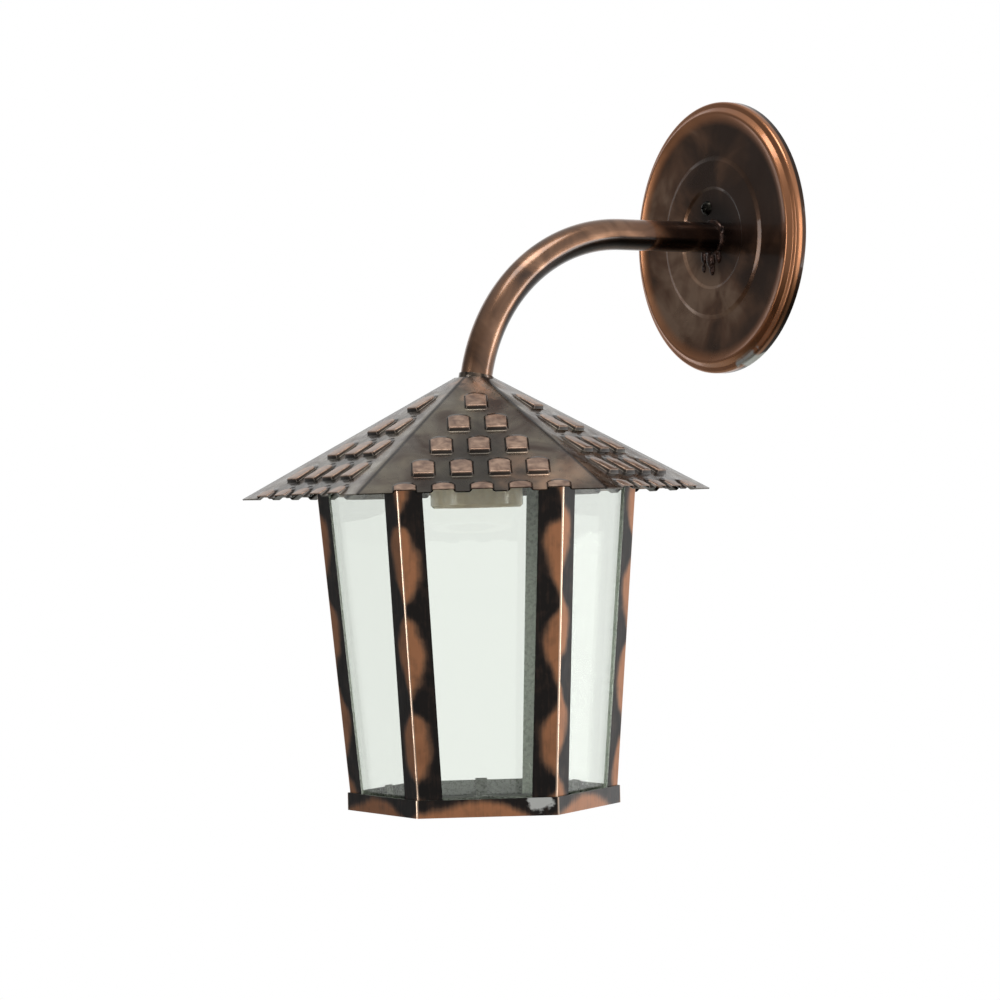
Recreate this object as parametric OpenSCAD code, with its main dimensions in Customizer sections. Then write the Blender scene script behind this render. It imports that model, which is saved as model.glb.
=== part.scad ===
// Hexagonal wall lantern of patinated copper-plated sheet, hung from a bent tube arm.
// Millimetres, +Z up, the wall on the +Y side and the lantern out towards -Y.
// The origin is the centre of the wall plate's back, on the axis of the arm.

/* [Arm] */
// Outside diameter of the arm tube
arm_d = 16; // [15.5:0.5:16.5]
// Wall thickness of the arm tube
arm_wall = 1; // [0.8:0.1:1.2]
// Distance from the wall to the lantern's axis
arm_reach = 156; // [150:1:190]
// Bend radius of the arm's centre line
arm_bend_r = 90; // [88:0.5:91]

/* [Wall plate] */
// Diameter of the wall plate
plate_d = 142; // [138:1:150]
// Depth of the wall plate, from the wall to its rim bead
plate_depth = 8.5; // [8.2:0.1:9]
// Sheet thickness of the wall plate
plate_sheet = 0.8; // [0.7:0.1:0.9]
// Radius of the raised ring's outer edge
ring_r = 40.5; // [38:0.5:44]
// Radius of the flat round the arm
seat_r = 26; // [24:0.5:28]

/* [Roof] */
// Drop from the arm's axis to the top of the roof
roof_drop = 74; // [73:0.5:75]
// Height of the roof, from its eave to its top
roof_h = 58; // [57:0.5:60]
// Distance from the axis to a corner of the eave
eave_r = 116.5; // [114:0.5:118]
// Distance from the axis to a corner of the roof's top
neck_r = 9.5; // [9.2:0.1:10]
// Sheet thickness of the roof
roof_sheet = 0.6; // [0.5:0.1:0.7]

/* [Pressed tiles] */
// Width of a pressed tile at its foot
tile_w = 11.6; // [10:0.2:12.4]
// Length of a pressed tile along the slope
tile_l = 17; // [15:0.5:18]
// Height of a pressed tile above the sheet
tile_h = 2.4; // [1.6:0.1:2.8]
// Lean of a tile's flanks from foot to crown
tile_draft = 0.9; // [0.6:0.1:1.1]
// Rise of the arched upper end
tile_arch = 3.4; // [2.8:0.1:4]
// Spacing of the tiles across the slope
tile_pitch = 18; // [17:0.2:18.4]
// Spacing of the rows down the slope
row_pitch = 21; // [20.5:0.1:21.2]
// Slope distance from the roof's top to the first row's lower edges
row_first = 33; // [31:0.5:33]
// Rows of tiles, of which the eave cuts the last
rows = 5; // [4:1:5]

/* [Lantern body] */
// Distance from the axis to a post's edge at the tray floor
post_r_foot = 66.2; // [65.5:0.1:66.3]
// Distance from the axis to a post's edge at the level of the eave
post_r_eave = 79.5; // [78:0.5:81]
// Width of each of a post's two flanges
flange_w = 12; // [10:0.5:14]
// Sheet thickness of the posts, the top ring and the tray
body_sheet = 0.8; // [0.7:0.1:0.9]
// Thickness of the glass
glass_t = 2; // [1.8:0.1:2.2]

/* [Bottom tray] */
// Height of the floor's underside below the arm's axis
tray_drop = 287.6; // [280:0.2:295]
// Height of the tray's band
tray_h = 8.6; // [8:0.2:10]
// Distance from the axis to a corner of the tray
tray_r = 68; // [67.9:0.1:68.5]
// Diameter of the opening for changing the bulb
opening_d = 84; // [70:1:85]

/* [Lampholder] */
// Diameter of the ceramic body
holder_d = 46; // [44:0.5:48]
// Depth of the ceramic body's mouth below the arm's axis
holder_drop = 139; // [138:0.5:141]
// Bore radius of the threaded shell
shell_r = 13.3; // [13.2:0.05:13.4]

/* [Hidden] */
$fn = 64;
faces = 6;
face_numbers = [1:faces];

// Colours
copper_brown = [0.36, 0.24, 0.19];
copper_dark = [0.24, 0.17, 0.14];
zinc_grey = [0.58, 0.59, 0.57];
screw_black = [0.06, 0.06, 0.06];
porcelain = [0.76, 0.72, 0.62];
clear_glass = [0.86, 0.90, 0.88, 0.35];

// Proportions of a regular hexagon
apothem = cos(30);
mitre = tan(30);

// Arm and its lower fixing, stacked downwards from the end of the tube
arm_r = arm_d / 2;
arm_bore_r = arm_r - arm_wall;
arm_tail = 7;
arm_end = -arm_bend_r - arm_tail;
bridge_t = 1.5;
bracket_t = 1.2;
tag_t = 0.8;
washer_t = 0.8;
nut_t = 3;
nipple_r = 5;
nipple_bore_r = 4;
plug_l = 6.5;
bridge_top = arm_end;
bracket_top = bridge_top - bridge_t;
tag_top = bracket_top - bracket_t;
washer_top = tag_top - tag_t;
nut_top = washer_top - washer_t;
nipple_end = nut_top - nut_t - 1;

// Wall plate levels, measured out from the wall
plate_r = plate_d / 2;
bead_r = plate_r - 6;
dish = 1.6;
seat_y = plate_depth - dish;
ring_y = seat_y + 1;
seat_back = seat_y - plate_sheet;
braze = 1.4;

// Wall bracket and its screws
strap_w = 20;
strap_l = 112;
strap_t = 1.5;
slot_w = 5;
slot_l = 12;
slot_spacing = 90;
cable_hole_r = 7;
screw_r = 1.95;
tapped_r = 2;
plate_screw_at = [-4.7, 16];
earth_screw_at = [0, -17];
lug_t = 0.8;

// Wires: one each side of the arm's middle plane and the earth wire below them
wire_r = 1.2;
wire_bend = 4.3;
wall_bend = 5;
wire_lie = 3.3;
tail_l = 19;
live_at = [-1.3, 0.75];
neutral_at = [1.3, 0.75];
earth_at = [0, -1.5];
live_turn = 240;
neutral_turn = 300;
ferrule_l = 8;
ferrule_r = 1.5;

// Roof panels: each leans back from the eave to the neck
roof_top = -roof_drop;
neck_a = neck_r * apothem;
eave_a = eave_r * apothem;
slope = atan(roof_h / (eave_a - neck_a));
slope_l = roof_h / sin(slope);
arch_r = (tile_w * tile_w / 4 + tile_arch * tile_arch) / (2 * tile_arch);
collar_gap = 0.25;
collar_h = 1.3;

// Lantern body: six flat sides that lean outwards towards the eave
floor_top = -tray_drop + body_sheet;
eave_z = roof_top - roof_h;
post_lean = (post_r_eave - post_r_foot) / (eave_z - floor_top);
lean = atan(post_lean * apothem);
foot_a = post_r_foot * apothem;
roof_room = roof_top - floor_top - (foot_a - neck_a) * tan(slope) - roof_sheet / cos(slope);
post_rise = roof_room / (1 + post_lean * apothem * tan(slope));
post_l = post_rise / cos(lean);
ring_h = 12;
glass_gap = 0.2;
glass_l = post_l - 7.6;
glass_offset = 2 * body_sheet + glass_gap;
glass_foot = -glass_offset * tan(lean);
glass_side_gap = 0.3;

// Bridge across the top ring
bridge_w = 14;
bridge_flat = 40;
bridge_tab = 6.4;
rivet_drop = 4.2;
rivet_r = 1.5;
rivet_head_r = 2.6;
rivet_head_h = 0.7;

// Glass tabs, punched up out of the tray floor
tab_w = 6;
tab_h = tray_h - body_sheet + 1;
tab_offset = glass_offset + glass_t + 0.2;
tab_slot_l = 8.5;
lap_l = 14;
lap_t = 0.5;

// Lampholder
holder_r = holder_d / 2;
holder_mouth = -holder_drop;
holder_top = bracket_top - 12.5;
holder_neck_r = holder_r - 2.5;
shell_t = 0.6;
shell_l = 20;
shell_top = holder_mouth + 0.5 + shell_l;
contact_top = shell_top + 4;
contact_r = 8.5;
foot_inner = 12.2;
foot_outer = 20;
foot_screw_x = 16;
foot_screw_r = 1.7;
foot_screw_l = 5.5;
block = 6;
block_h = 5.5;
block_at = 13.5;
clamp_r = 1.2;
lead_z = nipple_end - wire_bend;

// Points of an arc, from one angle to another
function arc(centre, r, from, to, steps = 6) =
    [for (i = [0:steps]) let (a = from + (to - from) * i / steps) centre + r * [cos(a), sin(a)]];

// Unit normal of the segment between two points, to its left
function left_of(a, b) = let (d = (b - a) / norm(b - a)) [-d[1], d[0]];

// One point of a bent sheet's other side, a thickness t to the left of the path
function across(path, i, t) =
    let (
        last = len(path) - 1,
        before = i > 0 ? left_of(path[i - 1], path[i]) : left_of(path[i], path[i + 1]),
        after = i < last ? left_of(path[i], path[i + 1]) : before,
        middle = before + after
    )
    path[i] + middle * 2 * t / (middle * middle);

// Outline of a bent sheet that has the path as its right side
function sheet(path, t) = concat(path, [for (i = [len(path) - 1:-1:0]) across(path, i, t)]);

// Distance from the axis to the top ring's inner face at a height
function ring_inner_a(z) = (post_r_foot + (z - floor_top) * post_lean) * apothem - 2 * body_sheet / cos(lean);

// Places the children on the lantern's axis
module on_axis() {
    translate([0, -arm_reach, 0])
        children();
}

// Turns the children so that +Z points out from the wall, at a point of the plate
module on_wall(at = [0, 0], out = 0) {
    translate([at[0], -out, at[1]])
        rotate([90, 0, 0])
            children();
}

// Lays the children on side i of a hexagonal pyramid: x across, y up the side, z outwards
module on_side(i, a, z, tilt) {
    on_axis()
        rotate([0, 0, 60 * i - 150])
            translate([a, 0, z])
                rotate([0, tilt, 0])
                    rotate([90, 0, 90])
                        children();
}

// Side i of the lantern body, from the tray floor up
module on_pane(i) {
    on_side(i, foot_a, floor_top, lean)
        children();
}

// Panel i of the roof, from its top edge down
module on_panel(i) {
    on_side(i, neck_a, roof_top, slope - 90)
        children();
}

// A flat plate between two heights of a side, a given depth behind its face
module side_plate(from, to, depth, t, gap = 0) {
    half_from = (post_r_foot + from * cos(lean) * post_lean) / 2 - depth * mitre - gap;
    half_to = (post_r_foot + to * cos(lean) * post_lean) / 2 - depth * mitre - gap;
    translate([0, 0, -depth - t])
        linear_extrude(t)
            polygon([[-half_from, from], [half_from, from], [half_to, to], [-half_to, to]]);
}

// A round bar that follows the arm, beside and above its centre line
module along_arm(r, at = [0, 0], from = 0, tail = arm_tail) {
    translate([at[0], -from, at[1]])
        rotate([90, 0, 0])
            cylinder(h = arm_reach - arm_bend_r - from, r = r);
    translate([0, arm_bend_r - arm_reach, -arm_bend_r])
        rotate([90, 0, -90])
            rotate_extrude(angle = 90)
                translate([arm_bend_r + at[1], -at[0]])
                    circle(r = r);
    translate([at[0], -arm_reach - at[1], -arm_bend_r - tail])
        cylinder(h = tail, r = r);
}

// A wire's quarter bend from straight down to outwards along x, ending at height 0
module quarter_bend(r, bend) {
    translate([bend, 0, bend])
        rotate([90, 0, 0])
            rotate_extrude(angle = 90)
                translate([-bend, 0])
                    circle(r = r);
}

// Pan-head screw, its shank down along -z from a flat under the head
module pan_screw(r, l, head_r, head_h) {
    dome_r = (head_r * head_r + head_h * head_h) / (2 * head_h);
    translate([0, 0, -l])
        cylinder(h = l, r = r);
    difference() {
        intersection() {
            cylinder(h = head_h, r = head_r);
            translate([0, 0, head_h - dome_r])
                sphere(r = dome_r);
        }
        for (turn = [0, 90])
            rotate([0, 0, turn])
                translate([-head_r * 0.55, -0.4, head_h * 0.45])
                    cube([head_r * 1.1, 0.8, head_h]);
    }
}

// Spun rosette with a beaded rim, a dished face and a raised ring round the arm
module wall_plate() {
    face = concat(
        [[plate_r, 0]],
        arc([plate_r - 1.6, 4.2], 1.6, 0, 80),
        [[bead_r + 2.2, 6.2]],
        arc([bead_r, plate_depth - 1.2], 1.2, 50, 105),
        [[ring_r + 2, seat_y + 0.1], [ring_r + 0.9, seat_y + 0.1]],
        [[ring_r - 0.4, ring_y], [seat_r + 0.8, ring_y], [seat_r - 0.4, seat_y]],
        [[arm_r, seat_y]]
    );
    color(copper_brown)
        difference() {
            on_wall()
                rotate_extrude($fn = 96)
                    polygon(sheet(face, plate_sheet));
            on_wall(plate_screw_at)
                cylinder(h = plate_depth + 1, r = tapped_r + 0.2);
        }
}

// Steel strap on the wall that the plate is screwed to
module wall_bracket() {
    color(zinc_grey)
        difference() {
            on_wall()
                translate([-strap_w / 2, -strap_l / 2, 0])
                    cube([strap_w, strap_l, strap_t]);
            on_wall([0, 0], -1)
                cylinder(h = strap_t + 2, r = cable_hole_r);
            for (at = [plate_screw_at, earth_screw_at])
                on_wall(at, -1)
                    cylinder(h = strap_t + 2, r = tapped_r);
            for (side = [-1, 1])
                on_wall([0, side * slot_spacing / 2], -1)
                    linear_extrude(strap_t + 2)
                        union() {
                            for (end = [-1, 1])
                                translate([0, end * (slot_l - slot_w) / 2])
                                    circle(d = slot_w);
                            square([slot_w, slot_l - slot_w], center = true);
                        }
        }
}

// Black screw that holds the plate to the strap
module plate_screw() {
    color(screw_black)
        on_wall(plate_screw_at, seat_y)
            pan_screw(screw_r, seat_y - 0.2, 4, 2.6);
}

// Screw that clamps the earth lug to the strap
module earth_screw() {
    color(zinc_grey)
        on_wall(earth_screw_at, strap_t + lug_t)
            pan_screw(screw_r, strap_t + lug_t - 0.2, 3.5, 2.2);
}

// Ring lug crimped on the earth wire
module earth_lug() {
    barrel_top = earth_at[1] - wall_bend - 1;
    barrel_l = 5;
    color(zinc_grey)
        difference() {
            union() {
                on_wall(earth_screw_at, strap_t)
                    cylinder(h = lug_t, r = 3.8);
                on_wall([-1.5, earth_screw_at[1] + 2.5], strap_t)
                    cube([3, 3, lug_t]);
                translate([0, -wire_lie, barrel_top - barrel_l])
                    cylinder(h = barrel_l, r = wire_r + 0.5);
            }
            on_wall(earth_screw_at)
                cylinder(h = plate_depth, r = tapped_r + 0.1);
            translate([0, -wire_lie, barrel_top - barrel_l - 1])
                cylinder(h = barrel_l + 2, r = wire_r);
        }
}

// Bent tube, brazed into the wall plate with a small fillet
module arm_tube() {
    color(copper_brown)
        difference() {
            union() {
                along_arm(arm_r, from = seat_back);
                on_wall([0, 0], seat_y)
                    rotate_extrude()
                        polygon([[arm_r - 0.2, 0], [arm_r + braze, 0], [arm_r, braze], [arm_r - 0.2, braze]]);
            }
            along_arm(arm_bore_r, from = 0, tail = arm_tail + 1);
        }
}

// Threaded plug brazed into the arm's lower end
module arm_plug() {
    color("darkgoldenrod")
        on_axis()
            translate([0, 0, arm_end])
                difference() {
                    cylinder(h = plug_l, r = arm_bore_r);
                    translate([0, 0, -1])
                        cylinder(h = plug_l + 2, r = nipple_r);
                }
}

// Hollow threaded nipple that carries the lantern and lets the wires through
module lamp_nipple() {
    color("goldenrod")
        on_axis()
            translate([0, 0, nipple_end])
                difference() {
                    cylinder(h = arm_end + plug_l - nipple_end, r = nipple_r);
                    translate([0, 0, -1])
                        cylinder(h = arm_end + plug_l - nipple_end + 2, r = nipple_bore_r);
                }
}

// Flat washer under the lamp nut
module lamp_washer() {
    color(zinc_grey)
        on_axis()
            translate([0, 0, washer_top - washer_t])
                difference() {
                    cylinder(h = washer_t, r = 8.5);
                    translate([0, 0, -1])
                        cylinder(h = washer_t + 2, r = nipple_r + 0.15);
                }
}

// Thin hexagonal nut on the nipple
module lamp_nut() {
    color("goldenrod")
        on_axis()
            translate([0, 0, nut_top - nut_t])
                difference() {
                    rotate([0, 0, 30])
                        cylinder(h = nut_t, d = 14 / apothem, $fn = 6);
                    translate([0, 0, -1])
                        cylinder(h = nut_t + 2, r = nipple_r);
                }
}

// Earth tag clamped on the nipple, with a tab for the earth wire
module earth_tag() {
    color(zinc_grey)
        on_axis()
            translate([0, 0, tag_top - tag_t])
                linear_extrude(tag_t)
                    difference() {
                        union() {
                            circle(r = 8);
                            translate([-2.5, 0])
                                square([5, 13]);
                        }
                        circle(r = nipple_r + 0.1);
                    }
}

// A wire's run through the arm, with a tail behind the plate that leaves towards an angle
module wire_run(at, turn) {
    on_wall(at, wire_lie)
        rotate([0, 0, turn])
            union() {
                quarter_bend(wire_r, wall_bend);
                translate([wall_bend, 0, 0])
                    rotate([0, 90, 0])
                        cylinder(h = tail_l - wall_bend, r = wire_r);
            }
    along_arm(wire_r, at, wire_lie + wall_bend, nipple_end * -1 - arm_bend_r);
}

// Outward stretch below the nipple, from a wire's place in it to its terminal
module wire_drop(at, turn, l) {
    translate([at[0], -arm_reach - at[1], lead_z])
        rotate([0, 0, turn])
            union() {
                quarter_bend(wire_r, wire_bend);
                translate([0, 0, wire_bend])
                    cylinder(h = 1, r = wire_r);
                translate([wire_bend, 0, 0])
                    rotate([0, 90, 0])
                        cylinder(h = l - wire_bend, r = wire_r);
            }
}

// Brown live wire
module wire_live() {
    color("saddlebrown") {
        wire_run(live_at, 180);
        wire_drop(live_at, live_turn, block_at + 2);
    }
}

// Blue neutral wire
module wire_neutral() {
    color("royalblue") {
        wire_run(neutral_at, 0);
        wire_drop(neutral_at, neutral_turn, block_at + 2);
    }
}

// Green earth wire, from the lug on the strap to the tag on the nipple
module wire_earth() {
    tag_bottom = tag_top - tag_t;
    rise = tag_bottom - nipple_end;
    color("seagreen") {
        on_wall(earth_at, wire_lie)
            rotate([0, 0, -90])
                union() {
                    quarter_bend(wire_r, wall_bend);
                    translate([wall_bend, 0, 0])
                        rotate([0, 90, 0])
                            cylinder(h = 6, r = wire_r);
                }
        along_arm(wire_r, earth_at, wire_lie + wall_bend, nipple_end * -1 - arm_bend_r);
        wire_drop(earth_at, 90, wire_bend + 0.01);
        translate([0, 2 * wire_bend - arm_reach - earth_at[1], lead_z])
            rotate([0, 0, -90])
                quarter_bend(wire_r, wire_bend);
        translate([0, 2 * wire_bend - arm_reach - earth_at[1], nipple_end])
            cylinder(h = rise, r = wire_r);
    }
}

// Crimped end sleeves on the two supply tails
module lead_ferrules() {
    color("silver")
        for (lead = [[live_at, -1], [neutral_at, 1]])
            translate([lead[0][0] + lead[1] * (tail_l - ferrule_l / 2), -wire_lie, lead[0][1]])
                rotate([0, 90, 0])
                    difference() {
                        cylinder(h = ferrule_l, r = ferrule_r, center = true);
                        cylinder(h = ferrule_l + 1, r = wire_r, center = true);
                    }
}

// The form of one pressed tile: arched at the top, square at its lower edge, with leaning flanks
module tile_form(l, inset, rise) {
    w = tile_w - 2 * inset;
    r = arch_r - inset;
    intersection() {
        translate([0, l, 0])
            rotate([90, 0, 0])
                linear_extrude(l)
                    polygon([[-w / 2, 0], [w / 2, 0], [w / 2 - tile_draft, rise], [tile_draft - w / 2, rise]]);
        union() {
            translate([0, l - r, 0])
                cylinder(h = rise, r1 = r, r2 = r - tile_draft);
            translate([-w / 2, -1, 0])
                cube([w, l - r + 1, rise]);
        }
    }
}

// Tiles of one roof panel, in staggered rows; the inset ones are the hollows behind them
module tile_rows(inset, base, rise, past_eave) {
    for (row = [1:rows]) {
        lower = row_first + (row - 1) * row_pitch;
        upper = lower - tile_l + inset;
        edge = lower > slope_l ? slope_l + past_eave : lower - inset;
        for (n = [0:row - 1])
            translate([(n - (row - 1) / 2) * tile_pitch, -edge, base])
                tile_form(edge - upper, inset, rise);
    }
}

// One embossed roof panel
module roof_panel() {
    difference() {
        union() {
            translate([0, 0, -roof_sheet])
                linear_extrude(roof_sheet)
                    polygon([[-neck_r / 2, 0], [neck_r / 2, 0], [eave_r / 2, -slope_l], [-eave_r / 2, -slope_l]]);
            tile_rows(0, -roof_sheet / 2, tile_h + roof_sheet / 2, 0);
        }
        tile_rows(roof_sheet, -roof_sheet - 0.4, tile_h + 0.4, 1);
    }
}

// Pyramid roof of six embossed panels, with a collar raised round the arm
module roof() {
    color(copper_brown)
        difference() {
            union() {
                for (i = face_numbers)
                    on_panel(i)
                        roof_panel();
                on_axis()
                    translate([0, 0, roof_top - 1.5 * roof_sheet])
                        cylinder(h = roof_sheet, r = neck_r + 0.4, $fn = 6);
                intersection() {
                    along_arm(arm_r + collar_gap + roof_sheet);
                    on_axis()
                        translate([0, 0, roof_top - 2])
                            cylinder(h = collar_h + 2, r = neck_r * 2);
                }
            }
            along_arm(arm_r + collar_gap);
        }
}

// Hexagonal strip ring inside the posts' upper ends
module top_ring() {
    color(zinc_grey)
        difference() {
            union() {
                for (i = face_numbers)
                    on_pane(i)
                        side_plate(post_l - ring_h, post_l, body_sheet, body_sheet);
            }
            for (i = [1, 4])
                on_pane(i)
                    translate([0, post_l - rivet_drop, -5])
                        cylinder(h = 6, r = rivet_r + 0.05);
        }
}

// Folded strip across the top ring that hangs it from the arm
module frame_bridge() {
    tab_top = floor_top + post_rise - 0.6;
    tab_end = tab_top - bridge_tab;
    half = [[bridge_flat, bridge_top], [ring_inner_a(tab_top), tab_top], [ring_inner_a(tab_end), tab_end]];
    path = concat([for (i = [2:-1:0]) half[i]], [for (p = half) [-p[0], p[1]]]);
    color(zinc_grey)
        difference() {
            on_axis()
                translate([-bridge_w / 2, 0, 0])
                    rotate([90, 0, 90])
                        linear_extrude(bridge_w)
                            polygon(sheet(path, bridge_t));
            on_axis()
                translate([0, 0, bridge_top - 5])
                    cylinder(h = 8, r = nipple_r + 0.2);
            for (i = [1, 4])
                on_pane(i)
                    translate([0, post_l - rivet_drop, -6])
                        cylinder(h = 6, r = rivet_r + 0.05);
        }
}

// Rivets between the bridge's tabs and the top ring
module bridge_rivets() {
    grip = body_sheet + bridge_t;
    color(zinc_grey)
        for (i = [1, 4])
            on_pane(i)
                translate([0, post_l - rivet_drop, -body_sheet])
                    union() {
                        cylinder(h = rivet_head_h, r1 = rivet_head_r, r2 = rivet_r);
                        translate([0, 0, -grip])
                            cylinder(h = grip, r = rivet_r);
                        translate([0, 0, -grip - rivet_head_h])
                            cylinder(h = rivet_head_h, r1 = rivet_r, r2 = rivet_head_r);
                    }
}

// Hat-shaped strap that holds the lampholder under the bridge
module holder_bracket() {
    foot_top = holder_top + bracket_t;
    half = [[foot_outer, foot_top], [foot_inner, foot_top], [foot_inner, bracket_top]];
    path = concat(half, [for (i = [2:-1:0]) [-half[i][0], half[i][1]]]);
    color(zinc_grey)
        difference() {
            on_axis()
                translate([0, 6, 0])
                    rotate([90, 0, 0])
                        linear_extrude(12)
                            polygon(sheet(path, bracket_t));
            on_axis()
                translate([0, 0, bracket_top - 3])
                    cylinder(h = 4, r = nipple_r + 0.2);
            for (side = [-1, 1])
                on_axis()
                    translate([side * foot_screw_x, 0, holder_top - 1])
                        cylinder(h = 4, r = foot_screw_r + 0.15);
        }
}

// Two screws from the bracket's feet into the ceramic
module holder_screws() {
    color(zinc_grey)
        for (side = [-1, 1])
            on_axis()
                translate([side * foot_screw_x, 0, holder_top + bracket_t])
                    pan_screw(foot_screw_r, foot_screw_l, 3, 2);
}

// Ceramic body of the lampholder, with a flat top, a bore for the shell and a room for the contact
module holder_body() {
    bore_r = shell_r + shell_t;
    profile = [
        [0, holder_top], [holder_neck_r - 1, holder_top], [holder_neck_r, holder_top - 1],
        [holder_neck_r, holder_top - 6], [holder_r, holder_top - 8.5],
        [holder_r, holder_mouth + 1.5], [holder_r - 1.5, holder_mouth],
        [bore_r + 1, holder_mouth], [bore_r, holder_mouth + 1], [bore_r, shell_top],
        [contact_r, shell_top], [contact_r, contact_top], [0, contact_top]
    ];
    color(porcelain)
        on_axis()
            difference() {
                rotate_extrude()
                    polygon(profile);
                for (side = [-1, 1])
                    translate([side * foot_screw_x, 0, holder_top - foot_screw_l])
                        cylinder(h = foot_screw_l + 1, r = foot_screw_r + 0.05);
            }
}

// Threaded shell that takes the bulb's cap
module holder_shell() {
    color("gold")
        on_axis()
            translate([0, 0, shell_top - shell_l])
                difference() {
                    cylinder(h = shell_l, r = shell_r + shell_t);
                    translate([0, 0, -1])
                        cylinder(h = shell_l + 2, r = shell_r);
                }
}

// Sprung centre contact above the shell
module holder_contact() {
    path = [[-7, 0], [3, 0], [6, -1.2], [4, -2.6], [-3, -3.2]];
    color("gold")
        on_axis()
            translate([0, 3, contact_top])
                rotate([90, 0, 0])
                    linear_extrude(6)
                        polygon(sheet(path, -0.5));
}

// Lays the children at a terminal, x along its wire
module at_terminal(at, turn) {
    translate([at[0], -arm_reach - at[1], holder_top])
        rotate([0, 0, turn])
            translate([block_at, 0, 0])
                children();
}

// Brass clamp blocks on top of the ceramic
module holder_terminals() {
    color("goldenrod")
        for (lead = [[live_at, live_turn], [neutral_at, neutral_turn]])
            at_terminal(lead[0], lead[1])
                difference() {
                    translate([-block / 2, -block / 2, 0])
                        cube([block, block, block_h]);
                    translate([-block, 0, lead_z - holder_top])
                        rotate([0, 90, 0])
                            cylinder(h = 2 * block, r = wire_r + 0.02);
                    translate([0, 0, lead_z - holder_top])
                        cylinder(h = block_h, r = clamp_r + 0.05);
                }
}

// Clamp screws of the two blocks
module terminal_screws() {
    tip = lead_z + wire_r - holder_top;
    color("goldenrod")
        for (lead = [[live_at, live_turn], [neutral_at, neutral_turn]])
            at_terminal(lead[0], lead[1])
                translate([0, 0, block_h])
                    pan_screw(clamp_r, block_h - tip, 2, 1.2);
}

// Corner post: a strip folded along its middle to the angle between two leaning sides
module post(i) {
    half_fold = acos((1 + sin(lean) * sin(lean)) / 2) / 2;
    edge = flange_w * [-sin(half_fold), cos(half_fold)];
    path = [[edge[0], -edge[1]], [0, 0], edge];
    color(copper_dark)
        intersection() {
            on_axis()
                rotate([0, 0, 60 * i - 120])
                    translate([post_r_foot, 0, floor_top])
                        rotate([0, atan(post_lean), 0])
                            translate([0, 0, -2])
                                linear_extrude(post_l + 4)
                                    polygon(sheet(path, body_sheet));
            on_axis()
                translate([0, 0, floor_top])
                    cylinder(h = post_rise, r = eave_r);
        }
}

// Pane of clear glass behind the posts' flanges
module glass(i) {
    color(clear_glass)
        on_pane(i)
            side_plate(glass_foot, glass_l, glass_offset, glass_t, glass_t * mitre + glass_side_gap);
}

// Hexagonal tray with a soldered lap seam, a round opening and tabs that hold the glass
module bottom_tray() {
    tray_bottom = -tray_drop;
    color(copper_dark)
        union() {
            difference() {
                on_axis()
                    translate([0, 0, tray_bottom])
                        cylinder(h = tray_h, r = tray_r, $fn = 6);
                on_axis()
                    translate([0, 0, floor_top])
                        cylinder(h = tray_h, r = tray_r - body_sheet / apothem, $fn = 6);
                on_axis()
                    translate([0, 0, tray_bottom - 1])
                        cylinder(h = 4, d = opening_d);
                for (i = face_numbers)
                    on_pane(i)
                        translate([-tab_w / 2 - 0.3, -2, -tab_offset - body_sheet - tab_slot_l])
                            cube([tab_w + 0.6, 3, tab_slot_l]);
            }
            for (i = face_numbers)
                on_pane(i)
                    translate([-tab_w / 2, -0.4, -tab_offset - body_sheet])
                        cube([tab_w, tab_h + 0.4, body_sheet]);
            on_side(2, tray_r * apothem, tray_bottom, 0)
                translate([tray_r / 2 - lap_l, 0, -0.1])
                    cube([lap_l, tray_h, lap_t + 0.1]);
        }
}

wall_plate();
wall_bracket();
plate_screw();
earth_screw();
earth_lug();
arm_tube();
arm_plug();
lamp_nipple();
lamp_washer();
lamp_nut();
earth_tag();
wire_live();
wire_neutral();
wire_earth();
lead_ferrules();
roof();
top_ring();
frame_bridge();
bridge_rivets();
holder_bracket();
holder_screws();
holder_body();
holder_shell();
holder_contact();
holder_terminals();
terminal_screws();
for (i = face_numbers)
    post(i);
for (i = face_numbers)
    glass(i);
bottom_tray();
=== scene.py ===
"""Models the sheet metal and gives every surface of the wall lantern its finish.

The sheets were pressed, folded and spun from copper-plated steel, darkened in a bath or
with a flame, and lacquered. The roof is pressed here tile by tile, the posts and the tray
get their folded edges, and the wall plate is spun with its soft rings.
"""
import math

import bmesh
import bpy
from bpy.props import FloatProperty, IntProperty, PointerProperty, StringProperty
from mathutils import Matrix, Vector


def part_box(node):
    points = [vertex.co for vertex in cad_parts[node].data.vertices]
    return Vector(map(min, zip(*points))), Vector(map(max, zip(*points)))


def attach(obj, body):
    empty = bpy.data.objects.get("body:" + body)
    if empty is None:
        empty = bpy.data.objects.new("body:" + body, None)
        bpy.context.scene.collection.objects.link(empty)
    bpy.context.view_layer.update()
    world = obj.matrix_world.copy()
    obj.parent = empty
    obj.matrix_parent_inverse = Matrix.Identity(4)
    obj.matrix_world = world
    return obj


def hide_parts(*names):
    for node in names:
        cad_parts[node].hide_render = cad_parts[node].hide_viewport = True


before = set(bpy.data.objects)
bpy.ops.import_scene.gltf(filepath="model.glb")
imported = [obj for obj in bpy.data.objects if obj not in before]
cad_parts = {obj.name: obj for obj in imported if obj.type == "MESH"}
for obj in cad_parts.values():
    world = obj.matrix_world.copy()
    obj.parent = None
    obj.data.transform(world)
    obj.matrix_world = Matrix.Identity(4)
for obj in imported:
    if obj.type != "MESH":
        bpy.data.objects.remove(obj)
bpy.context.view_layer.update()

bl_info = {
    "name": "Hexagonal Wall Lantern",
    "version": (1, 0, 0),
    "blender": (4, 5, 0),
    "location": "3D View > Sidebar > Lantern",
    "description": "Presses, folds, spins and finishes the sheet metal of a copper wall lantern",
    "category": "Object",
}

MM = 0.001
SIDES = 6
BODY = "root"

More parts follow.
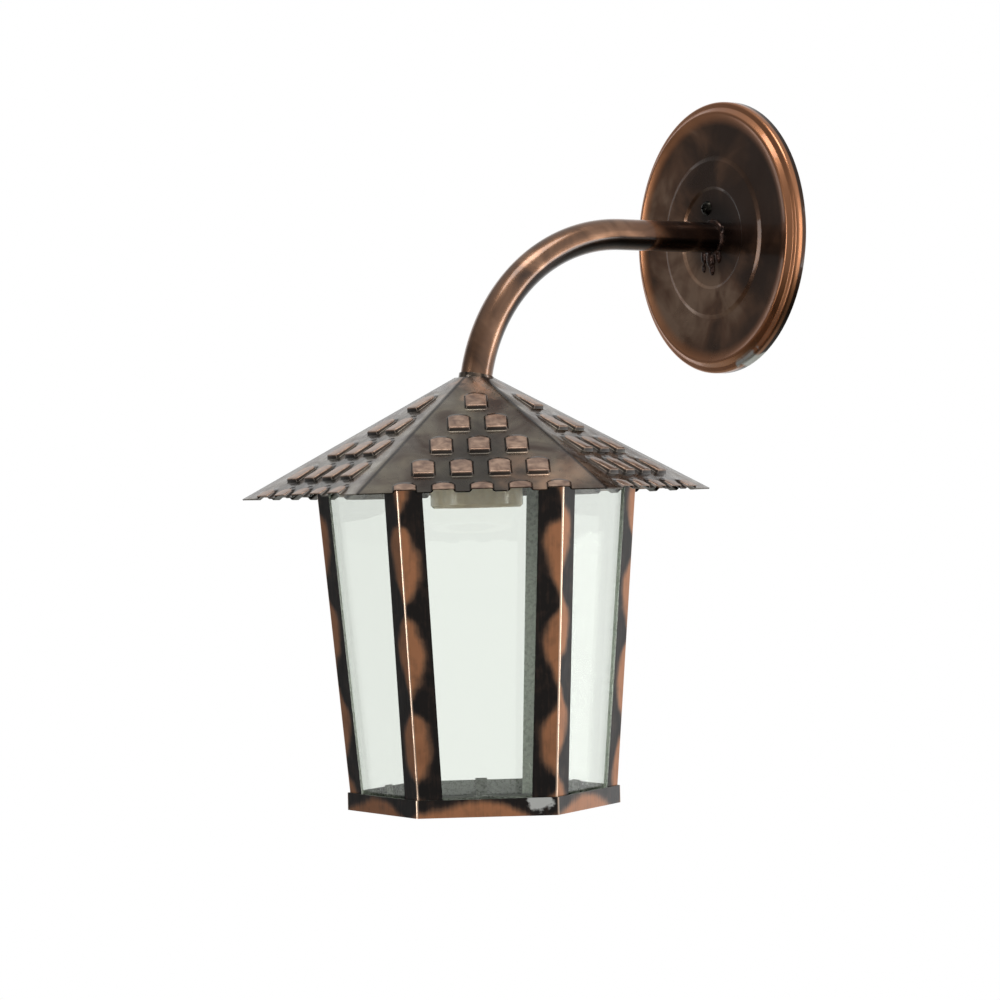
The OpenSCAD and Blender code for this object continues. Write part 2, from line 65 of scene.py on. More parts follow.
TRAY_LOW = Vector(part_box("bottom_tray")[0])
ROOF_LOW, ROOF_HIGH = (Vector(corner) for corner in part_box("roof"))
PLATE_LOW, PLATE_HIGH = (Vector(corner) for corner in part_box("wall_plate"))
AXIS = Vector(((ROOF_LOW.x + ROOF_HIGH.x) / 2, (ROOF_LOW.y + ROOF_HIGH.y) / 2, 0))
EAVE_RADIUS = (ROOF_HIGH.x - ROOF_LOW.x) / 2
# The lap seam makes the tray wider on its other side
TRAY_RADIUS = AXIS.x - TRAY_LOW.x
PLATE_RADIUS = (PLATE_HIGH.x - PLATE_LOW.x) / 2
ARM_RADIUS = 8 * MM
ARM_BEND = 90 * MM
# Points closer than this are one point: of the solids' triangles, and of the pressed sheet
SAME_CORNER = 0.002 * MM
SAME_EDGE = 0.02 * MM


# Settings that a user would change

def length(name, millimetres, description):
    """A length that a user can change, given here in millimetres."""
    return FloatProperty(name=name, description=description, default=millimetres * MM, unit="LENGTH")


def number(name, value, description, **limits):
    """A plain number that a user can change."""
    return FloatProperty(name=name, description=description, default=value, **limits)


def tint(name, hex_colour, description):
    """A colour that a user can change, as an sRGB hex value."""
    return StringProperty(name=name, description=description, default=hex_colour)


class RoofSettings(bpy.types.PropertyGroup):
    """Sizes of the pressed roof"""
    top: length("Top", -74, "Height of the roof's top")
    height: length("Height", 58, "Height from the eave to the top")
    neck: length("Neck", 9.5, "From the axis to a corner of the top")
    sheet: length("Sheet", 0.6, "Thickness of the sheet")
    tile_width: length("Tile width", 11.6, "Width of a pressed tile")
    tile_length: length("Tile length", 17, "Length down the slope")
    tile_height: length("Tile height", 2.1, "Height of the foot above the sheet")
    tile_drop: number("Tile drop", 0.5, "Share of the height lost at the upper end", min=0, max=0.9)
    tile_back: length("Tile back", 2.6, "How far the arch is drawn back")
    tile_lean: length("Tile lean", 0.9, "Lean of a tile's flanks")
    tile_arch: length("Tile arch", 3.4, "Rise of the upper end")
    fillet: length("Fillet", 0.9, "Hollow radius at a tile's foot")
    crown: length("Crown radius", 0.6, "Radius of a tile's upper edge")
    pitch: length("Pitch", 18, "Spacing across the slope")
    row_pitch: length("Row pitch", 21, "Spacing down the slope")
    first_row: length("First row", 33, "From the top to the first tile's foot")
    rows: IntProperty(
        name="Rows", description="Rows of tiles, of which the eave cuts the last", default=5, min=1, max=5)


class FoldSettings(bpy.types.PropertyGroup):
    """Sizes of the folded and spun sheets"""
    post_fold: length("Post fold", 0.9, "Outer radius of a post's fold")
    tray_fold: length("Tray fold", 0.45, "Outer radius of the tray's folds")
    plate_sheet: length("Plate sheet", 0.8, "Thickness of the wall plate")
    bead_radius: length("Bead radius", 65, "From the axis to the rim's bead")
    ring_radius: length("Ring radius", 40.5, "From the axis to the raised ring")
    seat_radius: length("Seat radius", 26, "From the axis to the arm's flat")
    flame_step: length("Flame step", 45, "Spacing of the flame's patches")


class FinishSettings(bpy.types.PropertyGroup):
    """Colours of the finishes"""
    copper: tint("Copper", "#C2845C", "Bare lacquered copper")
    highlight_tint: tint("Worn copper", "#F0D2B8", "Copper rubbed bright")
    # The pale copper of the painted highlight along the folds of the posts and the tray
    brown: tint("Brown", "#7C5B45", "Copper browned in the bath")
    umber: tint("Umber", "#4B382D", "Thick brown oxide")
    # Also used for the painted shade on the roof tiles' flanks and the painted dark reflection under the arm
    black: tint("Black", "#1C1613", "Flame-blackened oxide")
    olive: tint("Olive", "#6C6156", "Oxide of the flat roof sheet")
    zinc: tint("Zinc", "#EEF2E9", "Zinc inside the posts")
    tin: tint("Tin", "#DADBD6", "Tin solder")
    glass: tint("Glass", "#F5F8F4", "Tint of the panes")


class StageSettings(bpy.types.PropertyGroup):
    """Camera and floor"""
    azimuth: number("Azimuth", 58.086, "Camera's turn, in degrees")
    elevation: number("Elevation", -0.601, "Camera's height, in degrees")
    roll: number("Roll", -1.441, "Camera's roll, in degrees")
    distance: length("Distance", 1556.92, "Camera to the object")
    pan: length("Pan", -45.4, "Camera's step to its right")
    rise: length("Rise", -81.78, "Camera's step upwards")
    focal_pixels: number("Focal length", 3051.3, "In pixels of the 1000 pixel image")
    floor_drop: length("Floor", 600, "Floor below the wall plate")


# Shop tools: selecting, joining and placing

def deselect():
    """Leaves edit mode and selects nothing."""
    if bpy.context.object and bpy.context.object.mode != "OBJECT":
        bpy.ops.object.mode_set(mode="OBJECT")
    bpy.ops.object.select_all(action="DESELECT")


def choose(piece):
    """Selects one piece and nothing else, in object mode."""
    deselect()
    piece.select_set(True)
    bpy.context.view_layer.objects.active = piece


def edit(piece):
    """Opens one piece in edit mode with everything selected."""
    choose(piece)
    bpy.ops.object.mode_set(mode="EDIT")
    bpy.ops.mesh.select_all(action="SELECT")


def pick(piece, kind, test):
    """Selects the vertices, edges or faces of the piece in edit mode that pass a test."""
    bpy.ops.mesh.select_mode(type=kind)
    bpy.ops.mesh.select_all(action="DESELECT")
    form = bmesh.from_edit_mesh(piece.data)
    for item in {"VERT": form.verts, "EDGE": form.edges, "FACE": form.faces}[kind]:
        if test(item):
            item.select_set(True)
    form.select_flush_mode()
    bmesh.update_edit_mesh(piece.data)


def named(name):
    """The new active object, under its own name."""
    piece = bpy.context.object
    piece.name = name
    piece.data.name = name
    return piece


def copied(piece, name, place):
    """A copy with its own mesh, moved by a matrix."""
    other = piece.copy()
    other.data = piece.data.copy()
    other.name = name
    other.data.name = name
    other.data.transform(place)
    bpy.context.collection.objects.link(other)
    return other


def joined(pieces):
    """Joins pieces into the first one."""
    deselect()
    for piece in pieces:
        piece.select_set(True)
    bpy.context.view_layer.objects.active = pieces[0]
    bpy.ops.object.join()
    return pieces[0]


def place_in_mesh(piece):
    """Puts the object's place into its mesh, so that the object sits at the origin."""
    piece.data.transform(piece.matrix_world)
    piece.matrix_world = Matrix.Identity(4)
    return piece


def apply_all(piece):
    """Applies every modifier of a piece."""
    choose(piece)
    for modifier in list(piece.modifiers):
        bpy.ops.object.modifier_apply(modifier=modifier.name)


def thicken(piece, thickness, even=False):
    """Gives an open sheet its thickness, on its inner side."""
    wall = piece.modifiers.new("sheet", "SOLIDIFY")
    wall.thickness = thickness
    wall.offset = -1
    wall.use_even_offset = even
    apply_all(piece)


def smooth(piece, degrees):
    """Shades a piece smooth up to an angle."""
    choose(piece)
    bpy.ops.object.shade_smooth_by_angle(angle=math.radians(degrees))


def flatten(piece):
    """Shades broad faces flat, so that only the folds between them look round."""
    weighted = piece.modifiers.new("flat faces", "WEIGHTED_NORMAL")
    weighted.keep_sharp = True
    apply_all(piece)


def merged_copy(node, name):
    """A copy of a solid as one mesh with its flat faces whole."""
    piece = copied(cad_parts[node], name, Matrix.Identity(4))
    piece.parent = None
    piece.matrix_world = Matrix.Identity(4)
    piece.data.materials.clear()
    edit(piece)
    bpy.ops.mesh.remove_doubles(threshold=SAME_CORNER)
    bpy.ops.mesh.dissolve_limited(angle_limit=math.radians(0.4))
    deselect()
    return piece


def fit(piece, nodes, material=None):
    """Gives a finished piece its material, its body and the solids that it stands for."""
    if material:
        piece.data.materials.append(material)
    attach(piece, BODY)
    if nodes:
        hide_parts(*nodes)


def coat(nodes, material):
    """Gives solids that stay as they are their finish."""
    for node in nodes:
        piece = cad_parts[node]
        piece.data.materials.clear()
        piece.data.materials.append(material)


# Finishes

SOFT = {"interpolation_type": "SMOOTHSTEP"}
# The flame's patches wander along their flange by up to this much
WANDER = 10 * MM


def linear(hex_colour):
    """An sRGB hex colour as the linear colour that a shader takes."""
    parts = [int(hex_colour[i:i + 2], 16) / 255 for i in (1, 3, 5)]
    return tuple(p / 12.92 if p <= 0.04045 else ((p + 0.055) / 1.055) ** 2.4 for p in parts) + (1,)


def per(millimetres):
    """The scale of a pattern whose features have a real size in millimetres."""
    return 1000 / millimetres


def add(tree, kind, inputs=None, stops=(), out=0, **settings):
    """Adds a node with its values and links, a ramp's stops and its settings; returns one output."""
    node = tree.nodes.new("ShaderNode" + kind)
    for name, value in settings.items():
        setattr(node, name, value)
    for name, value in (inputs or {}).items():
        if isinstance(value, bpy.types.NodeSocket):
            tree.links.new(value, node.inputs[name])
        else:
            node.inputs[name].default_value = linear(value) if isinstance(value, str) else value
    for i, (place, tone) in enumerate(stops):
        ramp = node.color_ramp.elements
        stop = ramp[i] if i < 2 else ramp.new(place)
        stop.position = place
        stop.color = linear(tone) if isinstance(tone, str) else (tone, tone, tone, 1)
    return node.outputs[out] if len(node.outputs) else None


def fresh_tree(owner):
    """The empty node tree of a new material or world."""
    owner.use_nodes = True
    owner.node_tree.nodes.clear()
    return owner.node_tree


def finish_named(name, shader):
    """A new material with its shader's fixed values; returns it, its tree and the shader."""
    material = bpy.data.materials.new(name)
    tree = fresh_tree(material)
    surface = add(tree, "BsdfPrincipled", shader)
    add(tree, "OutputMaterial", {"Surface": surface})
    return material, tree, surface.node


def dress(tree, surface, heights, colour=None, rough=None):
    """Links a finish's patterns: relief from pairs of a pattern and its depth in mm, colour, roughness."""
    normal = None
    for pattern, depth in heights:
        bump = {"Height": pattern, "Distance": depth * MM, "Strength": 1.0}
        if normal:
            bump["Normal"] = normal
        normal = add(tree, "Bump", bump)
    for socket, pattern in (("Normal", normal), ("Base Color", colour), ("Roughness", rough)):
        if pattern:
            tree.links.new(pattern, surface.inputs[socket])


def object_place(tree, centre=(0, 0, 0), turn=0):
    """Object coordinates measured from a centre and turned about +Z."""
    place = add(tree, "TexCoord", out="Object")
    shifted = add(tree, "Mapping", {"Vector": place, "Location": [-c for c in centre]})
    return add(tree, "Mapping", {"Vector": shifted, "Rotation": (0, 0, -turn)})


def clouds(tree, place, size, detail=3.0, swirl=0.0):
    """A cloudy pattern with blots of a real size in millimetres, stretched to run from 0 to 1."""
    look = {"Vector": place, "Scale": per(size), "Detail": detail, "Distortion": swirl}
    return add(tree, "MapRange", {"Value": add(tree, "TexNoise", look), "From Min": 0.33, "From Max": 0.67})


def fold_distance(tree, axes):
    """Distance to the nearest fold of a hexagon about the axis, measured round it."""
    turn = add(tree, "Math", {0: axes["Y"], 1: axes["X"]}, operation="ARCTAN2")
    away = add(tree, "Math", {0: turn, 1: math.radians(30), 2: math.radians(-30)}, operation="WRAP")
    flat = add(tree, "CombineXYZ", {"X": axes["X"], "Y": axes["Y"]})
    radius = add(tree, "VectorMath", {0: flat}, out="Value", operation="LENGTH")
    along = add(tree, "Math", {0: away, 1: radius}, operation="MULTIPLY")
    return add(tree, "Math", {0: along}, operation="ABSOLUTE")


def blot(tree, place, centre, size, ragged=0.5, soft=0.3):
    """A ragged blot round a point: 1 inside, fading to 0 at its size in millimetres."""
    offset = add(tree, "VectorMath", {0: place, 1: [c * MM for c in centre]}, operation="SUBTRACT")
    far = add(tree, "VectorMath", {0: offset}, out="Value", operation="LENGTH")
    fringe = clouds(tree, place, size * 0.4)
    edge = add(tree, "Math", {0: fringe, 1: size * ragged * MM, 2: far}, operation="MULTIPLY_ADD")
    fade = {"Value": edge, "From Min": size * MM, "From Max": size * (1 - soft) * MM}
    return add(tree, "MapRange", fade, **SOFT)


def lacquered(name, base, roughness, coat):
    """Copper-plated sheet under clear lacquer: a metal with a thin glossy coat."""
    return finish_named(name, {
        "Base Color": base, "Metallic": 1.0, "Roughness": roughness,
        "Coat Weight": coat, "Coat Roughness": 0.06, "Coat IOR": 1.5})


def roof_copper(finish):
    """Bath-browned copper sheet, pressed and polished: paler crowns over an olive-brown sheet, with painted
    shade on the tiles' flanks and between the tiles.
    """
    material, tree, surface = lacquered("bath_browned_copper_roof", finish.olive, 0.32, 0.45)
    place = object_place(tree, AXIS)
    crown = add(tree, "Attribute", out="Fac", attribute_name="crown")
    haze = clouds(tree, place, 22, 4.0, 0.6)
    mottle = clouds(tree, place, 4, 5.0, 0.4)
    # The bath left the sheet uneven: darker pools and greyer, thinner spots
    colour = add(tree, "ValToRGB", {"Fac": haze},
                 [(0.0, finish.umber), (0.45, finish.olive), (1.0, "#8C8372")])
    tops = add(tree, "ValToRGB", {"Fac": mottle}, [(0.0, "#8A6D5C"), (0.5, "#A88A76"), (1.0, "#C2A48E")])
    # Painted shade between the tiles: away from the ridges the sheet is painted darker, so the margins
    # beside the ridges stay paler
    fold = fold_distance(tree, add(tree, "SeparateXYZ", {"Vector": place}).node.outputs)
    margin = {"Value": fold, "From Min": 9 * MM, "From Max": 34 * MM, "To Max": 0.8}
    between = add(tree, "MapRange", margin, **SOFT)
    # The flame that fitted the neck and the lower right corner left them pink
    corner = blot(tree, place, (100, -16, -124), 46, 0.6, 0.8)
    neck = blot(tree, place, (16, -9, -80), 26, 0.9, 0.7)
    blush = add(tree, "Math", {0: corner, 1: neck}, operation="MAXIMUM")
    blush = add(tree, "Math", {0: blush, 1: 0.7}, operation="MULTIPLY")
    # Polishing took the browning off the crowns; the tiles' flanks are painted near black as painted shade
    top = add(tree, "ValToRGB", {"Fac": crown}, [(0.3, 0.0), (0.95, 1.0)])
    painted_shade_flank = add(tree, "ValToRGB", {"Fac": crown}, [(0.08, 0.0), (0.25, 0.85), (0.7, 0.85), (0.9, 0.0)])
    # Old lacquer lies dark along the ridges
    crease = {"Value": fold, "From Min": 1.5 * MM, "From Max": 0.4 * MM, "To Max": 0.8}
    ridge = add(tree, "MapRange", crease, **SOFT)
    for where, stain in ((between, "#2C2822"), (blush, "#C29C80"), (top, tops),
                         (painted_shade_flank, finish.black), (ridge, finish.black)):
        colour = add(tree, "MixRGB", {"Fac": where, "Color1": colour, "Color2": stain})
    rough = add(tree, "MapRange", {"Value": mottle, "To Min": 0.24, "To Max": 0.38})
    rough = add(tree, "Math", {0: top, 1: 0.14, 2: rough}, operation="MULTIPLY_ADD")
    heights = [(clouds(tree, place, 30, 1.0), 0.5), (clouds(tree, place, 1.2, 2.0), 0.01)]
    dress(tree, surface, heights, colour, rough)
    return material


def flamed_copper(name, finish, centre, turn, marks):
    """Flame-darkened copper: warm patches in a blackened sheet, with a painted highlight along its folds."""
    material, tree, surface = lacquered(name, finish.copper, 0.28, 0.4)
    place = object_place(tree, centre, turn)
    patch, fold, tinned = marks(tree, place, add(tree, "SeparateXYZ", {"Vector": place}).node.outputs)
    # Drawing the strip left fine lines along it, which the oxide follows
    grain = clouds(tree, add(tree, "Mapping", {"Vector": place, "Scale": (1, 1, 0.06)}), 1.6)
    heat = add(tree, "Math", {0: grain, 1: 0.16, 2: -0.08}, operation="MULTIPLY_ADD")
    for pattern, share in ((clouds(tree, place, 6, 4.0, 0.3), 0.2), (patch, 0.9)):
        heat = add(tree, "Math", {0: pattern, 1: share, 2: heat}, operation="MULTIPLY_ADD")
    # Oxide colours by heat: black, umber and brown round each patch, bare copper in its middle
    colour = add(tree, "ValToRGB", {"Fac": heat},
                 [(0.1, finish.black), (0.3, "#3A2B23"), (0.6, finish.brown), (1.0, finish.copper)])
    # A painted highlight: a thin pale band along each fold, where the rounded fold catches the lamps
    crest = {"Value": fold, "From Min": 0.9 * MM, "From Max": 0.3 * MM, "To Max": 0.85}
    painted_highlight = add(tree, "MapRange", crest, **SOFT)
    for where, stain in ((painted_highlight, finish.highlight_tint), (tinned, finish.tin)):
        if where:
            colour = add(tree, "MixRGB", {"Fac": where, "Color1": colour, "Color2": stain})
    dress(tree, surface, [(clouds(tree, place, 16, 1.0), 0.15), (grain, 0.01)], colour)
    return material


def lens_mask(tree, place, along, across, step, peak):
    """Lens-shaped patches along a line, one to a step, that reach out from it by the peak."""
    drift = clouds(tree, place, 24, 2.0)
    moved = add(tree, "Math", {0: drift, 1: WANDER, 2: along}, operation="MULTIPLY_ADD")
    turn = add(tree, "Math", {0: moved, 1: step}, operation="DIVIDE")
    turn = add(tree, "Math", {0: turn, 1: 0.5, 2: -0.5}, operation="WRAP")
    bulge = add(tree, "Math", {0: turn, 1: turn}, operation="MULTIPLY")
    reach = add(tree, "Math", {0: bulge, 1: -4.0 * peak, 2: peak}, operation="MULTIPLY_ADD")
    inside = add(tree, "Math", {0: reach, 1: across}, operation="SUBTRACT")
    fringe = clouds(tree, place, 12, 2.0)
    ragged = add(tree, "Math", {0: fringe, 1: -1.6 * MM, 2: inside}, operation="MULTIPLY_ADD")
    return add(tree, "MapRange", {"Value": ragged, "From Min": -1.4 * MM, "From Max": 5.0 * MM}, **SOFT)


def post_marks(step, left, right):
    """The patches of one post, whose middles lie at these heights on the left and right flange."""
    def marks(tree, place, axes):
        side = add(tree, "Math", {0: axes["Y"], 1: 0.0}, operation="GREATER_THAN")
        levels = {"Value": side, "To Min": left + WANDER / 2, "To Max": right + WANDER / 2}
        centre = add(tree, "MapRange", levels)
        along = add(tree, "Math", {0: axes["Z"], 1: centre}, operation="SUBTRACT")
        across = add(tree, "Math", {0: axes["Y"]}, operation="ABSOLUTE")
        return lens_mask(tree, place, along, across, step, 9.8 * MM), across, None
    return marks


def band_marks(radius):
    """The patches of the tray's band, one low on each side, and the solder on its lap seam."""
    def marks(tree, place, axes):
        turn = add(tree, "Math", {0: axes["Y"], 1: axes["X"]}, operation="ARCTAN2")
        arc = {0: turn, 1: radius, 2: -radius * math.pi / SIDES}
        along = add(tree, "Math", arc, operation="MULTIPLY_ADD")
        patch = lens_mask(tree, place, along, axes["Z"], radius * math.tau / SIDES, 10.4 * MM)
        seam = add(tree, "Mapping", {"Vector": place, "Scale": (1, 1, 1.4)})
        return patch, fold_distance(tree, axes), blot(tree, seam, (63.6, -7.6, 9.4), 8.5, 0.35)
    return marks


def plate_copper(finish):
    """Spun and bath-browned copper: soft dark and pale rays, a rubbed bead and a black outer edge."""
    material, tree, surface = lacquered("spun_browned_copper_plate", finish.brown, 0.3, 0.4)
    place = object_place(tree)
    flat = add(tree, "VectorMath", {0: place, 1: (1, 0, 1)}, operation="MULTIPLY")
    radius = add(tree, "VectorMath", {0: flat}, out="Value", operation="LENGTH")
    ray = add(tree, "VectorMath", {0: flat}, operation="NORMALIZE")
    away = add(tree, "Math", {0: radius, 1: per(60)}, operation="MULTIPLY")
    swept = add(tree, "VectorMath", {0: ray, 1: add(tree, "CombineXYZ", {"Y": away})}, operation="ADD")
    rays = add(tree, "TexNoise", {"Vector": swept, "Scale": 1.6, "Detail": 3.0, "Distortion": 0.5})
    rays = add(tree, "MapRange", {"Value": rays, "From Min": 0.35, "From Max": 0.65, "To Max": 0.6})
    blooms = clouds(tree, place, 30, 3.0, 0.8)
    haze = add(tree, "Math", {0: blooms, 1: 0.4, 2: rays}, operation="MULTIPLY_ADD")
    # The colour is made paler towards the lower left of the plate
    tilt = add(tree, "VectorMath", {0: ray, 1: (-0.75, 0, -0.66)}, out="Value", operation="DOT_PRODUCT")
    haze = add(tree, "Math", {0: tilt, 1: 0.4, 2: haze}, operation="MULTIPLY_ADD")
    colour = add(tree, "ValToRGB", {"Fac": haze},
                 [(0.15, finish.umber), (0.4, "#5E4535"), (0.65, finish.brown), (0.95, "#A5866F")])
    # The lathe's hand left the bead bright and the lacquer ran dark over the seat; the outer edge next to
    # the wall is painted near black
    depth = add(tree, "SeparateXYZ", {"Vector": place}, out="Y")
    bounds = ((radius, 58, 64, 0.8), (depth, -3, -2, 0.95), (radius, 27, 12, 0.75))
    rim, edge, seat = (
        add(tree, "MapRange", {"Value": by, "From Min": a * MM, "From Max": b * MM, "To Max": most}, **SOFT)
        for by, a, b, most in bounds)
    dark = add(tree, "Math", {0: edge, 1: seat}, operation="MAXIMUM")
    # Handling wore the plating off the rim in one place
    outer = add(tree, "MapRange", {"Value": radius, "From Min": 67 * MM, "From Max": 69 * MM})
    bare = add(tree, "Math", {0: blot(tree, place, (28, -4, -67), 16), 1: outer}, operation="MULTIPLY")
    for where, stain in ((rim, finish.copper), (dark, finish.black), (bare, finish.tin)):
        colour = add(tree, "MixRGB", {"Fac": where, "Color1": colour, "Color2": stain})
    rough = add(tree, "MapRange", {"Value": blooms, "To Min": 0.26, "To Max": 0.42})
    heights = [(clouds(tree, place, 22, 1.0), 0.15), (clouds(tree, place, 2, 2.0), 0.004)]
    dress(tree, surface, heights, colour, rough)
    return material


def arm_copper(finish):
    """Drawn and browned copper tube under thick lacquer, darker where it was brazed to the plate, with a
    painted dark reflection on its underside.
    """
    material, tree, surface = lacquered("browned_copper_tube", finish.brown, 0.3, 0.7)
    place = object_place(tree)
    colour = add(tree, "ValToRGB", {"Fac": clouds(tree, place, 26, 3.0, 0.8)},
                 [(0.0, finish.umber), (0.5, finish.brown), (1.0, "#A07A60")])
    depth = add(tree, "SeparateXYZ", {"Vector": place}, out="Y")
    heat = {"Value": depth, "From Min": -52 * MM, "From Max": -30 * MM, "To Max": 0.8}
    burnt = add(tree, "MapRange", heat, **SOFT)
    # Painted dark reflection: a band on the tube's underside is painted black, with a paler line left at the
    # very bottom
    facing = add(tree, "SeparateXYZ", {"Vector": add(tree, "NewGeometry", out="Normal")}, out="Z")
    height = add(tree, "MapRange", {"Value": facing, "From Min": -1.0, "From Max": 1.0})
    under = add(tree, "ValToRGB", {"Fac": height}, [(0.04, 0.3), (0.13, 0.92), (0.37, 0.9), (0.43, 0.0)])
    for where, stain in ((burnt, "#2A1D1C"), (under, finish.black)):
        colour = add(tree, "MixRGB", {"Fac": where, "Color1": colour, "Color2": stain})
    dress(tree, surface, [(clouds(tree, place, 9, 2.0), 0.03)], colour)
    return material


def zinc_coat(name, dark, light, grain=2.2):
    """Hot-dipped zinc, the bare inner face of the plated sheet: dull grey with dark specks."""
    material, tree, surface = finish_named(name, {"Metallic": 1.0, "Roughness": 0.5})
    specks = clouds(tree, object_place(tree), grain, 5.0)
    colour = add(tree, "ValToRGB", {"Fac": specks}, [(0.0, dark), (0.7, light)])
    rough = add(tree, "MapRange", {"Value": specks, "To Min": 0.42, "To Max": 0.6})
    dress(tree, surface, [(specks, 0.01)], colour, rough)
    return material


def porcelain():
    """Slip-cast and glazed beige porcelain, with the fine lines that its mould left."""
    shader = {"Roughness": 0.28, "IOR": 1.5, "Coat Weight": 0.4, "Coat Roughness": 0.1}
    material, tree, surface = finish_named("glazed_beige_porcelain", shader)
    place = object_place(tree, AXIS)
    mould = {"Vector": place, "Scale": per(12), "Distortion": 1.0, "Detail": 2.0}
    lines = add(tree, "TexWave", mould, out="Fac", bands_direction="Z")
    colour = add(tree, "ValToRGB", {"Fac": clouds(tree, place, 8, 4.0)},
                 [(0.0, "#DFC79D"), (0.6, "#F3DCB2"), (1.0, "#FAE8C6")])
    dress(tree, surface, [(lines, 0.03)], colour)
    return material


def float_glass(finish):
    """Clear float glass: nearly colourless, with slow waves."""
    shader = {"Base Color": finish.glass, "Roughness": 0.0, "IOR": 1.52, "Transmission Weight": 1.0}
    material, tree, surface = finish_named("clear_float_glass", shader)
    dress(tree, surface, [(clouds(tree, object_place(tree), 60, 1.0), 0.02)])
    return material


def plain_finish(name, dark, light, grain, metallic, roughness, depth=0.005):
    """A small part's finish: two close tones in a fine grain, with the same grain as relief."""
    material, tree, surface = finish_named(name, {"Metallic": metallic, "Roughness": roughness})
    grains = clouds(tree, object_place(tree), grain, 4.0)
    colour = add(tree, "ValToRGB", {"Fac": grains}, [(0.0, dark), (1.0, light)])
    dress(tree, surface, [(grains, depth)], colour)
    return material


# The pressed roof

def tile_outline(piece, roof, flare):
    """Bends the square's upper edge into the tile's arch and widens it all round by the flare."""
    half = roof.tile_width / 2
    arch_radius = (half * half + roof.tile_arch ** 2) / (2 * roof.tile_arch)
    centre = roof.tile_length - arch_radius
    form = bmesh.from_edit_mesh(piece.data)
    for corner in form.verts:
        across = corner.co.x * 2 * (half + flare)
        if corner.co.y > 0:
            up = centre + math.sqrt((arch_radius + flare) ** 2 - across * across)
        else:
            up = -flare
        corner.co = (across, up, 0)
    bmesh.update_edit_mesh(piece.data)


def press_tile(roof):
    """One pressed tile, from the hollow flare at its foot to its crown, as an open sheet."""
    lean = math.atan2(roof.tile_height, roof.tile_lean)
    flare = roof.fillet * math.tan(lean / 2)
    foot_corner = 2.4 * MM
    deselect()
    bpy.ops.mesh.primitive_plane_add(size=1)
    tile = named("tile")
    edit(tile)
    pick(tile, "EDGE", lambda e: all(v.co.y > 0 for v in e.verts))
    bpy.ops.mesh.subdivide(number_cuts=8)
    tile_outline(tile, roof, flare)
    pick(tile, "VERT", lambda v: v.co.y < 0)
    bpy.ops.mesh.bevel(offset=foot_corner, segments=4, affect="VERTICES")
    steps = 4
    wall = roof.tile_height - (roof.fillet + roof.crown) * (1 - math.cos(lean))
    rings = [(roof.fillet * math.sin(lean * i / steps), roof.fillet * (1 - math.cos(lean * i / steps)))
             for i in range(steps + 1)]
    run, rise = rings[-1]
    run, rise = run + wall / math.tan(lean), rise + wall
    rings += [(run + roof.crown * (math.sin(lean) - math.sin(lean * (1 - i / steps))),
               rise + roof.crown * (math.cos(lean * (1 - i / steps)) - math.cos(lean)))
              for i in range(steps + 1)]
    bpy.ops.mesh.select_mode(type="FACE")
    bpy.ops.mesh.select_all(action="SELECT")
    for (run, rise), (next_run, next_rise) in zip(rings, rings[1:]):
        bpy.ops.mesh.inset(thickness=next_run - run, depth=next_rise - rise)
    bpy.ops.mesh.inset(thickness=0.6 * MM, depth=0.05 * MM)
    deselect()
    crown = tile.data.attributes.new("crown", "FLOAT", "POINT")
    for vertex, mark in zip(tile.data.vertices, crown.data):
        mark.value = min(1, vertex.co.z / roof.tile_height)
        up = vertex.co.y / roof.tile_length
        vertex.co.y -= roof.tile_back * mark.value * max(0, 2 * up - 1)
        vertex.co.z *= 1 - roof.tile_drop * up
    return tile


def sheet_cell(roof):
    """A flat cell of the sheet, one tile's pitch wide, with a vertex where the next row's cells meet."""
    deselect()
    bpy.ops.mesh.primitive_plane_add(size=1)
    cell = named("cell")
    edit(cell)
    pick(cell, "EDGE", lambda e: abs(e.verts[0].co.y - e.verts[1].co.y) < 0.5)
    bpy.ops.mesh.subdivide(number_cuts=1)
    deselect()
    margin = (roof.row_pitch - roof.tile_length) / 2
    size = Matrix.Diagonal((roof.pitch, roof.row_pitch, 1, 1))
    cell.data.transform(Matrix.Translation((0, roof.row_pitch / 2 - margin, 0)) @ size)
    return cell


def pressed_cell(roof, cell):
    """A cell of the sheet with one tile pressed up out of it."""
    rim = copied(cell, "pressed_cell", Matrix.Identity(4))
    edit(rim)
    pick(rim, "EDGE", lambda e: len(e.link_faces) == 2)
    bpy.ops.mesh.delete(type="EDGE")
    pressed = joined([press_tile(roof), rim])
    edit(pressed)
    pick(pressed, "EDGE", lambda e: len(e.link_faces) < 2)
    bpy.ops.mesh.fill(use_beauty=True)
    deselect()
    return pressed


def panel_place(roof, side):
    """The place of a panel: x across, y up the slope from the roof's top, z outwards."""
    apothem = math.cos(math.pi / SIDES)
    slope = math.atan2(roof.height, (EAVE_RADIUS - roof.neck) * apothem)
    turn = Matrix.Rotation(math.radians(60 * side - 150), 4, "Z")
    out = Matrix.Translation((roof.neck * apothem, 0, roof.top))
    lean = Matrix.Rotation(slope - math.pi / 2, 4, "Y")
    upright = Matrix.Rotation(math.pi / 2, 4, "Z") @ Matrix.Rotation(math.pi / 2, 4, "X")
    return Matrix.Translation(AXIS) @ turn @ out @ lean @ upright


